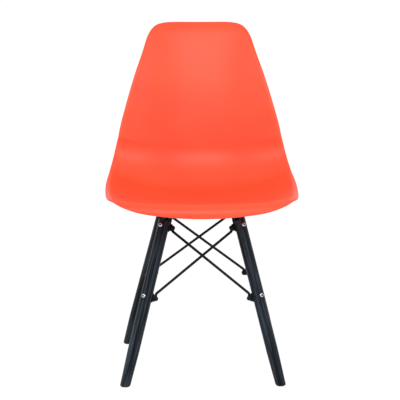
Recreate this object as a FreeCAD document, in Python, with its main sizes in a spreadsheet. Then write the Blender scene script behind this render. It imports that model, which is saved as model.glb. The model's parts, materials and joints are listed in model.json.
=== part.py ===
import FreeCAD, Part
import math
import os

# Moulded plastic shell chair on a splayed dowel base, in millimetres.
# +Z is up, the sitter faces -Y, the origin is on the floor below the middle of the chair.

Vector = FreeCAD.Vector
Placement = FreeCAD.Placement
Rotation = FreeCAD.Rotation
UP = Vector(0, 0, 1)

SIZES = {
    "shell_wall": 4.5,
    "lip_above_boss": 14.3,
    "lip_roll_radius": 26,
    "seat_fall_angle": 9,
    "seat_flat_length": 110,
    "dish_radius": 700,
    "bend_radius": 118,
    "back_radius": 1380,
    "crown_radius": 120,
    "seat_half_width": 234,
    "back_half_width": 141,
    "side_lift": 62,
    "front_bow": 24,
    "flare_width": 15,
    "flare_depth": 5,
    "foot_half_x": 186.5,
    "foot_half_y": 189,
    "splay_x": 0.2525,
    "splay_y": 0.273,
    "base_setback": 231,
    "leg_radius": 14.2,
    "leg_foot_radius": 12.2,
    "leg_taper_length": 80,
    "leg_end_height": 3,
    "leg_top_height": 383,
    "leg_edge_break": 1,
    "glide_radius": 10.8,
    "glide_spigot_radius": 4,
    "glide_spigot_length": 16,
    "screw_azimuth": 34,
    "upper_screw_below_top": 13,
    "lower_screw_height": 206.3,
    "leg_screw_shank": 6,
    "leg_screw_head": 10,
    "leg_screw_head_height": 3,
    "leg_screw_seat_depth": 1.3,
    "ear_height": 17,
    "ear_gap": 0.2,
    "bracket_plate": 2.5,
    "bracket_height": 22,
    "saddle_clearance": 0.3,
    "eye_margin": 0.35,
    "eye_plate": 3,
    "neck_width": 7,
    "rod_diameter": 6.5,
    "rod_ear_gap": 0.3,
    "rod_end_gap": 0.5,
    "rod_upper_run": 2.6,
    "rod_lower_run": 5.25,
    "rod_upper_bend": 4,
    "rod_lower_bend": 8,
    "brace_screw_shank": 5,
    "brace_screw_head": 11,
    "brace_screw_head_height": 3.6,
    "brace_screw_key": 3,
    "leg_screw_key": 4,
    "seat_bolt_key": 5,
    "screw_end": 1,
    "nut_height": 4,
    "nut_flats": 8,
    "tab_above_leg": 9,
    "tab_root": 8,
    "tab_plate": 3,
    "mount_radius": 13,
    "mount_gap": 4.8,
    "boss_margin": 1,
    "mount_thickness": 5,
    "insert_radius": 4.6,
    "insert_length": 12,
    "seat_bolt_shank": 6,
    "seat_bolt_head": 10,
    "seat_bolt_head_height": 6,
    "washer_radius": 8,
    "washer_thickness": 1.2,
    "hole_clearance": 0.2,
    "bolt_clearance": 0.3,
}

doc = FreeCAD.newDocument("shell_chair")
sheet = doc.addObject("Spreadsheet::Sheet", "sizes")
for row, (alias, value) in enumerate(SIZES.items(), start=1):
    sheet.set("A%d" % row, alias.replace("_", " "))
    sheet.set("B%d" % row, str(value))
    sheet.setAlias("B%d" % row, alias)
doc.recompute()


def size(alias):
    """The value of one named size in the sheet."""
    return float(sheet.get(alias))


# Heights and reaches that follow from the sizes
TAB_LEVEL = size("leg_top_height") + size("tab_above_leg")
MOUNT_LEVEL = TAB_LEVEL + size("tab_plate")
BOSS_LEVEL = MOUNT_LEVEL + size("mount_thickness")
BOLT_LEVEL = TAB_LEVEL - size("washer_thickness")
TAB_REACH = size("leg_radius") + size("mount_gap") + size("mount_radius")
BOSS_RADIUS = size("mount_radius") + size("boss_margin")
SADDLE_INSIDE = size("leg_radius") + size("saddle_clearance")
SADDLE_OUTSIDE = SADDLE_INSIDE + size("bracket_plate")
EYE_RADIUS = size("brace_screw_head") / 2 + size("eye_margin")
EAR_REACH = SADDLE_OUTSIDE + size("ear_gap") + EYE_RADIUS
EAR_HALF = size("bracket_plate") / 2
ROD_START = size("brace_screw_head") / 2 + size("rod_end_gap")
ROD_OFFSET = EAR_HALF + size("rod_diameter") / 2 + size("rod_ear_gap")
LEVELS = {"upper": size("leg_top_height") - size("upper_screw_below_top"),
          "lower": size("lower_screw_height")}
LEAN = math.hypot(size("splay_x"), size("splay_y"))
AXIS_STRETCH = math.hypot(LEAN, 1)


def ease(x, low, high):
    """Smooth step from 0 at low to 1 at high."""
    t = min(max((x - low) / (high - low), 0.0), 1.0)
    return t * t * (3 - 2 * t)


def through(stations, x):
    """Smooth curve through (place, value) stations, level beyond the first and the last."""
    places = [place for place, _ in stations]
    values = [value for _, value in stations]
    if x <= places[0] or x >= places[-1]:
        return values[0] if x <= places[0] else values[-1]
    i = max(k for k in range(len(places) - 1) if places[k] <= x)

    def slope(k):
        low, high = max(k - 1, 0), min(k + 1, len(places) - 1)
        return (values[high] - values[low]) / (places[high] - places[low])

    span = places[i + 1] - places[i]
    t = (x - places[i]) / span
    rise = values[i + 1] - values[i]
    start, end = slope(i) * span, slope(i + 1) * span
    return values[i] + t * (start + t * (3 * rise - 2 * start - end + t * (start + end - 2 * rise)))


# Seat shell: one polypropylene moulding, drawn as a sheet along its centre line from lip to crown
CENTRE_LINE = [
    (size("lip_roll_radius") * math.radians(100 + size("seat_fall_angle")), 100, -size("seat_fall_angle")),
    (size("seat_flat_length"), -size("seat_fall_angle"), -size("seat_fall_angle")),
    (size("dish_radius") * math.radians(size("seat_fall_angle") + 5), -size("seat_fall_angle"), 5),
    (size("bend_radius") * math.radians(75), 5, 80),
    (size("back_radius") * math.radians(12), 80, 68),
    (size("crown_radius") * math.radians(20), 68, 48),
]
SHEET_LENGTH = sum(length for length, _, _ in CENTRE_LINE)
STEP = 1.0


def heading(u):
    """Direction of the centre line, in radians above level, u mm from the lip."""
    for length, start, end in CENTRE_LINE:
        if u <= length:
            return math.radians(start + (end - start) * max(u, 0) / length)
        u -= length
    return math.radians(CENTRE_LINE[-1][2])


def centre_line():
    """Points of the centre line every STEP mm, from a little before the lip to as far past the crown."""
    y, z, points = 0.0, BOSS_LEVEL + size("lip_above_boss"), {}
    margin = 20
    y -= math.cos(heading(0)) * margin * STEP
    z -= math.sin(heading(0)) * margin * STEP
    for k in range(-margin, int(SHEET_LENGTH / STEP) + 2 * margin):
        points[k] = (y, z)
        turn = heading((k + 0.5) * STEP)
        y += math.cos(turn) * STEP
        z += math.sin(turn) * STEP
    return points


CENTRE_POINTS = centre_line()
SIDE = size("seat_half_width")
BACK = size("back_half_width")
LIFT = size("side_lift")
# The stations below are drawn on a sheet of this length; a longer or shorter one spreads them
DRAWN_LENGTH = 816


def spread(stations):
    return [(place * SHEET_LENGTH / DRAWN_LENGTH, value) for place, value in stations]


# Half width of the sheet before its corners are rounded
SIDE_WIDTH = spread([(0, SIDE), (260, SIDE), (320, SIDE * 0.980), (380, SIDE * 0.951), (440, SIDE * 0.910),
                     (500, SIDE * 0.868), (560, BACK * 1.348), (620, BACK * 1.248), (680, BACK * 1.131),
                     (740, BACK), (830, BACK * 0.79)])
# How far the side edge stands above the centre line, and how far it is drawn along it through the bend
SIDE_LIFT = spread([(0, 0), (50, LIFT * 0.16), (110, LIFT * 0.29), (180, LIFT * 0.47), (260, LIFT * 0.69),
                    (330, LIFT * 0.89), (390, LIFT), (450, LIFT * 0.97), (520, LIFT * 0.82),
                    (600, LIFT * 0.68), (680, LIFT * 0.52), (750, LIFT * 0.31), (816, LIFT * 0.15)])
SIDE_DRAW = spread([(230, 0), (330, 0), (390, 8), (450, 22), (510, 24), (570, 15), (640, 4), (700, 0)])
# Half of the rounded outline: each place along, and the half width there
EDGE_HALF = spread([(0, 0), (2, SIDE * 0.256), (7, SIDE * 0.470), (13, SIDE * 0.641), (22, SIDE * 0.769),
                    (33, SIDE * 0.863), (52, SIDE * 0.932), (82, SIDE * 0.966), (130, SIDE * 0.987),
                    (200, SIDE), (260, SIDE), (320, SIDE * 0.980), (380, SIDE * 0.951), (440, SIDE * 0.910),
                    (500, SIDE * 0.868), (560, BACK * 1.348), (620, BACK * 1.248), (680, BACK * 1.131),
                    (740, BACK), (773, BACK * 0.925), (790, BACK * 0.855), (801, BACK * 0.78),
                    (809, BACK * 0.67), (815, BACK * 0.43), (816, 0)])


def sheet_point(x, u):
    """Place on the seating face of the shell, without the flare of its rim."""
    k = int(math.floor(u / STEP))
    part = u / STEP - k
    y = CENTRE_POINTS[k][0] * (1 - part) + CENTRE_POINTS[k + 1][0] * part
    z = CENTRE_POINTS[k][1] * (1 - part) + CENTRE_POINTS[k + 1][1] * part
    across = abs(x) / through(SIDE_WIDTH, u)
    lift = through(SIDE_LIFT, u) * across ** 2.4
    draw = through(SIDE_DRAW, u) * across ** 2.4
    bow = size("front_bow") * across ** 2 * (1 - ease(u, 0, 260))
    turn = heading(u)
    return Vector(x, y - math.sin(turn) * lift + math.cos(turn) * draw + bow,
                  z + math.cos(turn) * lift + math.sin(turn) * draw)


def flat_outline():
    """Closed outline of the shell, laid flat as x across and u along."""
    right = [Vector(x, u, 0) for u, x in EDGE_HALF]
    left = [Vector(-p.x, p.y, 0) for p in reversed(right[1:-1])]
    curve = Part.BSplineCurve()
    curve.interpolate(Points=right + left, PeriodicFlag=True)
    return curve


OUTLINE = flat_outline()
OUTLINE_FACE = Part.Face(Part.Wire(OUTLINE.toShape()))
COLUMN_STEP = 1 / 28.0
ROW_STEP = 8.5


def rim_flare(x, u):
    """How far the rim is turned back at a place of the flat sheet."""
    here = Vector(x, u, 0)
    inside = OUTLINE_FACE.isInside(here, 0.01, True)
    gap = here.distanceToPoint(OUTLINE.value(OUTLINE.parameter(here)))
    run = size("flare_width") - (gap if inside else -gap)
    if run <= 0:
        return 0.0
    return size("flare_depth") * (run / size("flare_width")) ** 2 * ease(u, 30, 120)


def sheet_grid():
    """Points of the seating face, on a regular grid that reaches past the outline."""
    rows = int((SHEET_LENGTH + 24) / ROW_STEP) + 1
    columns = [k * COLUMN_STEP for k in range(-30, 31)]
    top = []
    for row in range(rows):
        u = -12 + row * (SHEET_LENGTH + 24) / (rows - 1)
        width = through(SIDE_WIDTH, u)
        turn = heading(u)
        back = Vector(0, math.sin(turn), -math.cos(turn))
        top.append([sheet_point(c * width, u) + back * rim_flare(c * width, u) for c in columns])
    return top


def offset_grid(grid, depth):
    """The same grid, moved by depth to the underside, square to the sheet."""
    moved = []
    last_row, last_column = len(grid) - 1, len(grid[0]) - 1
    for i, line in enumerate(grid):
        moved.append([])
        for j, point in enumerate(line):
            along = grid[min(i + 1, last_row)][j] - grid[max(i - 1, 0)][j]
            over = line[min(j + 1, last_column)] - line[max(j - 1, 0)]
            moved[-1].append(point + along.cross(over).normalize() * depth)
    return moved


def surface_of(grid):
    surface = Part.BSplineSurface()
    surface.interpolate(grid)
    return surface


def edge_on(surface, points):
    """Closed edge on a surface through the places nearest to the points."""
    flat = [FreeCAD.Base.Vector2d(*surface.parameter(point)) for point in points]
    curve = Part.Geom2d.BSplineCurve2d()
    curve.interpolate(Points=flat, PeriodicFlag=True)
    return curve.toShape(surface)


def rim_points(count=80):
    """Places of the outline on the seating face."""
    first, last = OUTLINE.FirstParameter, OUTLINE.LastParameter
    points = []
    for k in range(count):
        flat = OUTLINE.value(first + (last - first) * k / count)
        turn = heading(flat.y)
        back = Vector(0, math.sin(turn), -math.cos(turn))
        points.append(sheet_point(flat.x, flat.y) + back * size("flare_depth") * ease(flat.y, 30, 120))
    return points


def shell_sheet(grid):
    """The seating face, the underside and the edge between them, as one solid."""
    top = surface_of(grid)
    under = surface_of(offset_grid(grid, size("shell_wall")))
    points = rim_points()
    drop = NORMAL_SIDE * size("shell_wall")
    below = [p + top.normal(*top.parameter(p)) * drop for p in points]
    lower = [under.value(*under.parameter(p)) for p in below]
    upper_edge, lower_edge = edge_on(top, points), edge_on(under, lower)
    rim = Part.makeRuledSurface(upper_edge, lower_edge)
    skin = Part.makeShell([Part.Face(top, Part.Wire(upper_edge)), Part.Face(under, Part.Wire(lower_edge))]
                          + rim.Faces)
    skin.sewShape()
    return Part.makeSolid(skin)


GRID = sheet_grid()
NORMAL_SIDE = 1 if surface_of(GRID).normal(0.3, 0.5).z < 0 else -1
shell = shell_sheet(GRID)
depths = [point.y for point in shell.tessellate(0.2)[0]]
SHIFT = Vector(0, -(min(depths) + max(depths)) / 2, 0)
BASE_Y = SHIFT.y + size("base_setback")


# Legs: four dowels, each with its own frame: up along the dowel, X outward along its screws
class Corner:
    def __init__(self, name, across, along):
        self.name = name
        self.across = across
        self.along = along
        self.foot = Vector(across * size("foot_half_x"), BASE_Y + along * size("foot_half_y"), 0)
        self.axis = Vector(-across * size("splay_x"), -along * size("splay_y"), 1)
        self.up = Vector(self.axis).normalize()
        turn = math.radians(size("screw_azimuth"))
        self.out_level = Vector(across * math.sin(turn), along * math.cos(turn), 0)
        self.out = self.square(self.out_level)
        self.to_side = self.square(Vector(-across, 0, 0))
        self.to_end = self.square(Vector(0, -along, 0))
        # The bracket is drawn from the ear that has the other a quarter turn to its left
        self.first_ear = self.to_side if across * along > 0 else self.to_end
        self.ear_angle = math.degrees(self.to_side.getAngle(self.to_end))

    def square(self, direction):
        """The direction made square to the dowel."""
        return (direction - self.up * direction.dot(self.up)).normalize()

    def at(self, height):
        """Point of the dowel's axis at a height above the floor."""
        return self.foot + self.axis * height

    def frame(self, height, x_axis):
        return Placement(self.at(height), Rotation(x_axis, Vector(), self.up, "ZXY"))


CORNERS = [Corner("front_left", -1, -1), Corner("front_right", 1, -1),
           Corner("back_left", -1, 1), Corner("back_right", 1, 1)]


def bind(thing, rules):
    """Set properties: text is an expression on the sheet, anything else a value."""
    for name, rule in rules.items():
        if isinstance(rule, str):
            thing.setExpression(name, rule)
        else:
            setattr(thing, name, rule)
    return thing


def primitive(kind, name, place, **rules):
    thing = doc.addObject("Part::" + kind, name)
    thing.Placement = place
    return bind(thing, rules)


def joined(name, pieces):
    thing = doc.addObject("Part::MultiFuse", name)
    thing.Shapes = pieces
    return thing


def less(name, base, tools):
    thing = doc.addObject("Part::Cut", name)
    thing.Base = base
    thing.Tool = tools[0] if len(tools) == 1 else joined(name + "_tools", tools)
    return thing


def turned(x, y, z, x_axis=Vector(1, 0, 0), z_axis=UP):
    """Placement with its Z along z_axis and its X as near x_axis as that allows."""
    return Placement(Vector(x, y, z), Rotation(x_axis, Vector(), z_axis, "ZXY"))


def node(thing, name):
    thing.Label = name
    NODES.append(thing)


def repeated(name, master, places):
    """One node with a copy of the master solid at each place."""
    copies = []
    for k, place in enumerate(places, start=1):
        copy = doc.addObject("App::Link", "%s_%d" % (name, k))
        copy.LinkedObject = master
        copy.LinkTransform = False
        copy.Placement = place
        copies.append(copy)
    group = doc.addObject("Part::Compound", name)
    group.Links = copies
    node(group, name)


NODES = []
SCREW_SEAT = size("leg_radius") - size("leg_screw_seat_depth")

for corner in CORNERS:
    tag = corner.name
    base = corner.frame(size("leg_end_height"), corner.out)
    length = (size("leg_top_height") - size("leg_end_height")) * AXIS_STRETCH
    straight = length - size("leg_taper_length")
    dowel = joined(tag + "_dowel", [
        primitive("Cylinder", tag + "_foot", base * turned(0, 0, -size("leg_foot_radius")),
                  Radius="sizes.leg_foot_radius", Height="sizes.leg_foot_radius"),
        primitive("Cone", tag + "_taper", base, Radius1="sizes.leg_foot_radius", Radius2="sizes.leg_radius",
                  Height="sizes.leg_taper_length"),
        primitive("Cylinder", tag + "_shaft", base * turned(0, 0, size("leg_taper_length")),
                  Radius="sizes.leg_radius", Height=straight - size("leg_edge_break")),
        primitive("Cone", tag + "_top", base * turned(0, 0, length - size("leg_edge_break")),
                  Radius1="sizes.leg_radius", Radius2="sizes.leg_radius - sizes.leg_edge_break",
                  Height="sizes.leg_edge_break")])
    reach = 3 * size("leg_radius")
    below = turned(corner.foot.x - reach, corner.foot.y - reach, -reach)
    bores = [primitive("Box", tag + "_level_cut", below, Length=2 * reach, Width=2 * reach,
                       Height=reach + size("leg_end_height")),
             primitive("Cylinder", tag + "_spigot_bore", base * turned(0, 0, -size("leg_foot_radius")),
                       Radius="sizes.glide_spigot_radius + sizes.hole_clearance",
                       Height="sizes.leg_foot_radius + sizes.glide_spigot_length + 1")]
    for level, height in LEVELS.items():
        through_hole = turned(-2 * size("leg_radius"), 0, 0, UP, Vector(1, 0, 0))
        head_seat = turned(SCREW_SEAT, 0, 0, UP, Vector(1, 0, 0))
        here = corner.frame(height, corner.out)
        bores.append(primitive("Cylinder", "%s_%s_bore" % (tag, level), here * through_hole,
                               Height="sizes.leg_radius * 4",
                               Radius="sizes.leg_screw_shank / 2 + sizes.hole_clearance"))
        bores.append(primitive("Cylinder", "%s_%s_seat" % (tag, level), here * head_seat,
                               Height="sizes.leg_radius",
                               Radius="sizes.leg_screw_head / 2 + sizes.bolt_clearance"))
    node(less("leg_" + tag, dowel, bores), "leg_" + tag)

# Foot glides: plastic pads under the level ends of the dowels, each with a spigot pushed up the middle
for corner in CORNERS:
    tag = corner.name
    base = corner.frame(size("leg_end_height"), corner.out)
    pad = primitive("Cylinder", tag + "_pad", turned(base.Base.x, base.Base.y, 0),
                    Radius="sizes.glide_radius", Height="sizes.leg_end_height")
    spigot = primitive("Cylinder", tag + "_spigot", base * turned(0, 0, -size("leg_end_height") / 3),
                       Radius="sizes.glide_spigot_radius",
                       Height="sizes.glide_spigot_length + sizes.leg_end_height / 3")
    node(joined("foot_glide_" + tag, [pad, spigot]), "foot_glide_" + tag)

# Brackets: steel plates bent round the inner side of each dowel, with two ears for the braces
def ear_centre(corner, direction, height):
    return corner.at(height) + direction * EAR_REACH


def bracket(corner, level, height):
    """The saddle and its two ears; the upper one also has the level tab that carries the seat."""
    name = "%s_bracket_%s" % (level, corner.name)
    bottom = height - size("bracket_height") / 2 / AXIS_STRETCH
    top = height + size("bracket_height") / 2 / AXIS_STRETCH
    if level == "upper":
        top = TAB_LEVEL + 1 + size("leg_radius") * LEAN / AXIS_STRETCH
    saddle_place = corner.frame(bottom, corner.first_ear)
    tall = (top - bottom) * AXIS_STRETCH
    saddle = less(name + "_saddle",
                  primitive("Cylinder", name + "_bend", saddle_place, Height=tall, Angle=corner.ear_angle,
                            Radius=SADDLE_OUTSIDE),
                  [primitive("Cylinder", name + "_hollow", saddle_place * turned(0, 0, -1), Height=tall + 2,
                             Radius=SADDLE_INSIDE)])
    pieces = [saddle]
    holes = [primitive("Cylinder", name + "_screw_hole",
                       corner.frame(height, corner.out) * turned(0, 0, 0, UP, Vector(-1, 0, 0)),
                       Radius="sizes.leg_screw_shank / 2", Height=2 * SADDLE_OUTSIDE)]
    start = SADDLE_INSIDE + size("bracket_plate") * 0.2
    for k, direction in enumerate((corner.to_side, corner.to_end)):
        here = corner.frame(height, direction)
        ear = "%s_ear_%d" % (name, k + 1)
        pieces.append(primitive("Box", ear, here * turned(start, -EAR_HALF, -size("ear_height") / 2),
                                Length=EAR_REACH - start - EYE_RADIUS * 0.27, Width="sizes.bracket_plate",
                                Height="sizes.ear_height"))
        eye = here * turned(EAR_REACH, -EAR_HALF, 0, Vector(1, 0, 0), Vector(0, 1, 0))
        pieces.append(primitive("Cylinder", ear + "_eye", eye, Radius=EYE_RADIUS,
                                Height="sizes.bracket_plate"))
        holes.append(primitive("Cylinder", ear + "_hole", eye * turned(0, 0, -EAR_HALF),
                               Radius="sizes.brace_screw_shank / 2 + sizes.hole_clearance",
                               Height="sizes.bracket_plate * 2"))
    if level == "upper":
        across = corner.at(TAB_LEVEL + size("tab_plate") / 2)
        flat = turned(across.x, across.y, TAB_LEVEL, -corner.out_level)
        root = flat * turned(size("tab_root"), -size("mount_radius"), 0)
        pieces.append(primitive("Box", name + "_tab", root, Length=TAB_REACH - size("tab_root"),
                                Width="sizes.mount_radius * 2", Height="sizes.tab_plate"))
        end = flat * turned(TAB_REACH, 0, 0)
        pieces.append(primitive("Cylinder", name + "_tab_end", end, Radius="sizes.mount_radius",
                                Height="sizes.tab_plate"))
        holes.append(primitive("Cylinder", name + "_tab_hole", end * turned(0, 0, -size("tab_plate")),
                               Radius="sizes.seat_bolt_shank / 2 + sizes.bolt_clearance",
                               Height="sizes.tab_plate * 3"))
    node(less(name, joined(name + "_plate", pieces), holes), name)


for corner in CORNERS:
    for level, height in LEVELS.items():
        bracket(corner, level, height)


# Braces: black steel rods crossing on each side, their ends pressed flat and screwed to the ears
class Side:
    def __init__(self, name, left, right):
        self.name = name
        self.corners = (left, right)
        self.toward = self.ear_direction(left, right)
        self.back = self.ear_direction(right, left)
        self.out = self.toward.cross(left.up).normalize()

    @staticmethod
    def ear_direction(corner, other):
        return corner.to_side if corner.along == other.along else corner.to_end

    def ears(self, outer):
        """Upper and lower ear of the outer or the inner brace, with the dowels they belong to."""
        left, right = self.corners
        if outer:
            return (left, self.toward), (right, self.back)
        return (right, self.back), (left, self.toward)


FL, FR, BL, BR = CORNERS
SIDES = [Side("front", FL, FR), Side("right", FR, BR), Side("back", BR, BL), Side("left", BL, FL)]


def bent_rod(points, bends):
    """Round rod along straight lines through the points, with the given bend radius at each inner one."""
    edges = []
    start = points[0]
    for before, corner, after, radius in zip(points, points[1:], points[2:], bends):
        into, onward = (corner - before).normalize(), (after - corner).normalize()
        half_turn = into.getAngle(onward) / 2
        reach = radius * math.tan(half_turn)
        first, last = corner - into * reach, corner + onward * reach
        sag = radius / math.cos(half_turn) - radius
        middle = corner + (onward - into).normalize() * sag
        edges += [Part.LineSegment(start, first).toShape(), Part.Arc(first, middle, last).toShape()]
        start = last
    edges.append(Part.LineSegment(start, points[-1]).toShape())
    outline = Part.Wire(Part.makeCircle(size("rod_diameter") / 2, points[0], points[1] - points[0]))
    return Part.Wire(edges).makePipeShell([outline], True, False)


def brace(side, outer):
    """One brace: a straight rod, turned plumb at both ends into a flat eye."""
    name = "brace_%s_%s" % (side.name, "outer" if outer else "inner")
    face = side.out if outer else side.out * -1
    (top_corner, top_way), (low_corner, low_way) = side.ears(outer)
    plumb = (UP - face * face.dot(UP)).normalize()
    ends = ((plumb * -1, ear_centre(top_corner, top_way, LEVELS["upper"]), size("rod_upper_run")),
            (plumb, ear_centre(low_corner, low_way, LEVELS["lower"]), size("rod_lower_run")))
    path, eyes, holes = [], [], []
    for way, ear, run in ends:
        centre = ear + face * ROD_OFFSET
        path.append([centre + way * ROD_START, centre + way * (ROD_START + run)])
        seat = ear + face * EAR_HALF
        eyes.append(Part.makeCylinder(EYE_RADIUS, size("eye_plate"), seat, face))
        neck = Part.makeBox(ROD_START + run / 2, size("neck_width"), size("eye_plate"))
        neck.Placement = (Placement(seat, Rotation(way, Vector(), face, "ZXY"))
                          * turned(0, -size("neck_width") / 2, 0))
        eyes.append(neck)
        holes.append(Part.makeCylinder(size("brace_screw_shank") / 2 + size("hole_clearance"),
                                       3 * size("eye_plate"), seat - face * size("eye_plate"), face))
    bar = bent_rod(path[0] + path[1][::-1], (size("rod_upper_bend"), size("rod_lower_bend")))
    thing = doc.addObject("Part::Feature", name)
    shape = bar.fuse(eyes).cut(Part.makeCompound(holes))
    thing.Shape = shape.Solids[0]
    node(thing, name)


for side in SIDES:
    for outer in (True, False):
        brace(side, outer)


# Fasteners: each kind is drawn once, head up along Z with the face it bears on at zero
def domed_screw(name, head, head_height, shank, length, key):
    """Round head with a hexagon socket on a plain shank."""
    rim = primitive("Cylinder", name + "_rim", turned(0, 0, 0), Radius="sizes.%s / 2" % head,
                    Height="sizes.%s * 0.45" % head_height)
    crown = primitive("Cone", name + "_crown", turned(0, 0, size(head_height) * 0.45),
                      Radius1="sizes.%s / 2" % head, Radius2="sizes.%s * 0.3" % head,
                      Height="sizes.%s * 0.55" % head_height)
    pin = primitive("Cylinder", name + "_pin", turned(0, 0, -length), Radius="sizes.%s / 2" % shank,
                    Height=length + size(head_height) * 0.3)
    socket = primitive("Prism", name + "_socket", turned(0, 0, size(head_height) * 0.4), Polygon=6,
                       Circumradius=key / math.sqrt(3), Height=size(head_height))
    return less(name, joined(name + "_blank", [rim, crown, pin]), [socket])


leg_screw = domed_screw("leg_screw_pattern", "leg_screw_head", "leg_screw_head_height", "leg_screw_shank",
                        SCREW_SEAT + SADDLE_OUTSIDE + size("screw_end"), size("leg_screw_key"))
repeated("leg_screws", leg_screw, [
    corner.frame(height, corner.out) * turned(SCREW_SEAT, 0, 0, UP, Vector(1, 0, 0))
    for corner in CORNERS for height in LEVELS.values()])

brace_stack = size("bracket_plate") + size("eye_plate") + size("nut_height")
brace_screw = domed_screw("brace_screw_pattern", "brace_screw_head", "brace_screw_head_height",
                          "brace_screw_shank", brace_stack + size("screw_end"), size("brace_screw_key"))
brace_nut = less("brace_nut_pattern",
                 primitive("Prism", "nut_blank", turned(0, 0, 0), Polygon=6, Height="sizes.nut_height",
                           Circumradius="sizes.nut_flats / sqrt(3)"),
                 [primitive("Cylinder", "nut_thread", turned(0, 0, -1), Height="sizes.nut_height + 2",
                            Radius="sizes.brace_screw_shank / 2")])
screw_places, nut_places = [], []
for side in SIDES:
    for outer in (True, False):
        for (corner, way), level in zip(side.ears(outer), ("upper", "lower")):
            centre = ear_centre(corner, way, LEVELS[level])
            head_face = EAR_HALF + (size("eye_plate") if outer else 0)
            nut_face = EAR_HALF + (0 if outer else size("eye_plate"))
            turn = Rotation(corner.up, Vector(), side.out, "ZXY")
            screw_places.append(Placement(centre + side.out * head_face, turn))
            nut_places.append(Placement(centre - side.out * (nut_face + size("nut_height")), turn))
repeated("brace_screws", brace_screw, screw_places)
repeated("brace_nuts", brace_nut, nut_places)

# Seat fixings: a rubber mount, an insert moulded into the boss, and a bolt with its washer from below
MOUNTS = []
for corner in CORNERS:
    spot = corner.at(TAB_LEVEL + size("tab_plate") / 2) - corner.out_level * TAB_REACH
    MOUNTS.append(Vector(spot.x, spot.y, 0))


def ring(name, radius, bore, height):
    return less(name, primitive("Cylinder", name + "_blank", turned(0, 0, 0), Radius=radius, Height=height),
                [primitive("Cylinder", name + "_bore", turned(0, 0, -1), Radius=bore, Height=height + " + 2")])


def at_mounts(level, way=UP):
    """The place of each seat fixing at a level, its Z up or down."""
    return [turned(spot.x, spot.y, level, Vector(1, 0, 0), way) for spot in MOUNTS]


THREAD = "sizes.seat_bolt_shank / 2"
CLEAR = THREAD + " + sizes.bolt_clearance"
BOLT_TOP = BOSS_LEVEL + size("insert_length") - size("screw_end")
mount = ring("mount_pattern", "sizes.mount_radius", CLEAR, "sizes.mount_thickness")
insert = ring("insert_pattern", "sizes.insert_radius", THREAD, "sizes.insert_length")
washer = ring("washer_pattern", "sizes.washer_radius", CLEAR, "sizes.washer_thickness")
seat_bolt = domed_screw("seat_bolt_pattern", "seat_bolt_head", "seat_bolt_head_height", "seat_bolt_shank",
                        BOLT_TOP - BOLT_LEVEL, size("seat_bolt_key"))
repeated("rubber_mounts", mount, at_mounts(MOUNT_LEVEL))
repeated("shell_inserts", insert, at_mounts(BOSS_LEVEL))
repeated("seat_washers", washer, at_mounts(BOLT_LEVEL))
repeated("seat_bolts", seat_bolt, at_mounts(BOLT_LEVEL, -UP))


# Bosses of the shell: moulded on its underside, each bored for its insert
def boss(spot, wall):
    tall = 6 * BOSS_RADIUS
    post = Part.makeCylinder(BOSS_RADIUS, tall, Vector(spot.x, spot.y, BOSS_LEVEL)).cut(wall)
    post = min(post.Solids, key=lambda piece: piece.BoundBox.ZMin)
    return post.cut(Part.makeCylinder(size("insert_radius"), size("insert_length"),
                                      Vector(spot.x, spot.y, BOSS_LEVEL)))


middle = surface_of(offset_grid(GRID, size("shell_wall") / 2)).toShape()
middle.translate(SHIFT)
shell.translate(SHIFT)
bosses = []
for spot in MOUNTS:
    half = 2.2 * BOSS_RADIUS
    near = Part.makeBox(2 * half, 2 * half, 8 * BOSS_RADIUS, Vector(spot.x - half, spot.y - half, BOSS_LEVEL))
    bosses.append(boss(spot, middle.common(near).extrude(Vector(0, 0, 8 * BOSS_RADIUS))))
shell = shell.fuse(bosses)
seat = doc.addObject("Part::Feature", "seat_shell")
seat.Shape = shell.Solids[0]
seat.Placement = Placement()
node(seat, "seat_shell")

doc.recompute()
os.makedirs("parts", exist_ok=True)
for thing in doc.Objects:
    if any(word in thing.State for word in ("Invalid", "Error")):
        raise RuntimeError("%s did not recompute" % thing.Name)
for thing in NODES:
    if thing.Shape.isNull() or not thing.Shape.isValid():
        raise RuntimeError("%s has no valid shape" % thing.Label)
    thing.Shape.exportStep(os.path.join("parts", thing.Label + ".step"))
    print(thing.Label, len(thing.Shape.Solids))
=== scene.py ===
import json
import math
import bmesh
import bpy
import numpy as np
from mathutils import Matrix, Vector
from mathutils.bvhtree import BVHTree

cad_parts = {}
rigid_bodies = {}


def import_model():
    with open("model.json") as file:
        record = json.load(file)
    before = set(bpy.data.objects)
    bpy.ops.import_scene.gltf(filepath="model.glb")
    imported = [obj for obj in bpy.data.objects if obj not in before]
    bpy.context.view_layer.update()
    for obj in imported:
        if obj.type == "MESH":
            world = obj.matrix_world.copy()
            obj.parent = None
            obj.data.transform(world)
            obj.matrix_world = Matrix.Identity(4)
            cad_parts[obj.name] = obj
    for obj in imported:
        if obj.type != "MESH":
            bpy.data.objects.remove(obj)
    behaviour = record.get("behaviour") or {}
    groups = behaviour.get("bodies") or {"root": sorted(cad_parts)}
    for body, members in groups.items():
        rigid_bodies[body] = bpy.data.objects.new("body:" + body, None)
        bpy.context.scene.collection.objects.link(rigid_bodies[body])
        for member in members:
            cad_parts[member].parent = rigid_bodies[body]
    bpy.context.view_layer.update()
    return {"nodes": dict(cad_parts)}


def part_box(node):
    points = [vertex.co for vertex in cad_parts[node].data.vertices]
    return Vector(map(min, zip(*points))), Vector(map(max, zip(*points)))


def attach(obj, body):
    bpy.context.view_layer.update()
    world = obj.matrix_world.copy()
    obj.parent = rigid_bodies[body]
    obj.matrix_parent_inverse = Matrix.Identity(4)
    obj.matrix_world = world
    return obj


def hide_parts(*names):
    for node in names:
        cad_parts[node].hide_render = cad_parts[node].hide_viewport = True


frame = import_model()

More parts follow.
